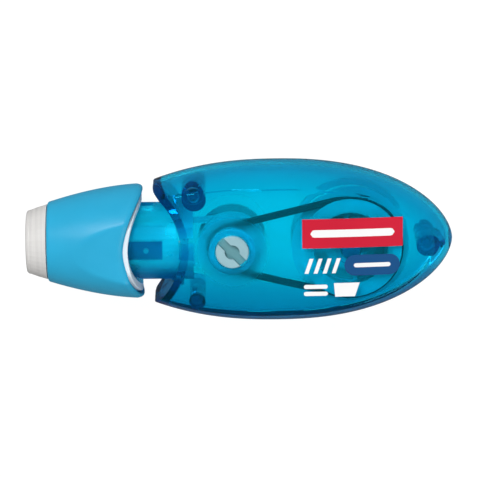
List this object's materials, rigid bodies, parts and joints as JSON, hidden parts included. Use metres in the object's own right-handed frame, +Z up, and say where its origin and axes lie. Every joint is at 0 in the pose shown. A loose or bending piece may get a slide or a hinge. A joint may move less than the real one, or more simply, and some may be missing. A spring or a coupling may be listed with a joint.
{
  "type": "correction tape roller",
  "caption": "Twist-action correction tape roller: clear blue egg-shaped case, belt-driven tape spools, round neck, twisting sleeve and a retracting frosted nose that covers the applicator tip.",
  "frame": {"origin": "on the surface the roller lies on, under the middle of its bounding box", "axes": "+X along the roller from the nose to the tail, +Y across it, +Z up out of the front face; it lies on its flat back"},
  "size_m": [0.0997, 0.0378, 0.0224],
  "materials": {
    "case_blue": "polished, clear blue, see-through",
    "neck_blue": "polished, clear blue, see-through",
    "sleeve_blue": "pearly light blue, satin",
    "lining_white": "satin white",
    "nose_frost": "frosted, milky",
    "spool_frost": "milky natural plastic",
    "pulley_blue": "clear blue",
    "core_white": "white",
    "hub_white": "satin white",
    "tape_white": "dull white film",
    "ribbon_clear": "glossy thin film",
    "belt_rubber": "black, dull",
    "tip_white": "white, smooth"
  },
  "bodies": {
    "case": {"front_shell": "case_blue", "back_shell": "case_blue", "neck_barrel": "neck_blue", "tip_carrier": "tip_white", "applicator_tip": "tip_white", "drive_belt": "belt_rubber", "coated_tape_run": "tape_white", "bare_ribbon_run": "ribbon_clear"},
    "nose_guard": {"nose_guard": "nose_frost"},
    "twist_sleeve": {"twist_sleeve": "sleeve_blue", "sleeve_lining": "lining_white"},
    "supply_spool": {"supply_spool": "spool_frost", "tape_core": "core_white", "tape_roll": "tape_white", "spool_cover": "spool_frost", "supply_pulley": "pulley_blue"},
    "takeup_spool": {"takeup_spool": "hub_white", "takeup_roll": "ribbon_clear", "takeup_pulley": "pulley_blue"}
  },
  "joints": [
    {"name": "nose_slide", "type": "slide", "parent": "case", "child": "nose_guard", "axis": [1, 0, 0], "range_m": [0, 0.0065]},
    {"name": "sleeve_twist", "type": "hinge", "parent": "nose_guard", "child": "twist_sleeve", "pos_m": [-0.0446, 0, 0.0112], "axis": [1, 0, 0], "range_deg": [0, 90]},
    {"name": "supply_turn", "type": "hinge", "parent": "case", "child": "supply_spool", "pos_m": [0.026, 0, 0.0112], "axis": [0, 0, 1], "continuous": true},
    {"name": "takeup_turn", "type": "hinge", "parent": "case", "child": "takeup_spool", "pos_m": [-0.0015, 0, 0.0112], "axis": [0, 0, 1], "continuous": true}
  ],
  "couplings": [
    {"joint": "sleeve_twist", "follows": "nose_slide", "rad_per_m": 241.66},
    {"joint": "takeup_turn", "follows": "supply_turn", "ratio": 2.219}
  ]
}
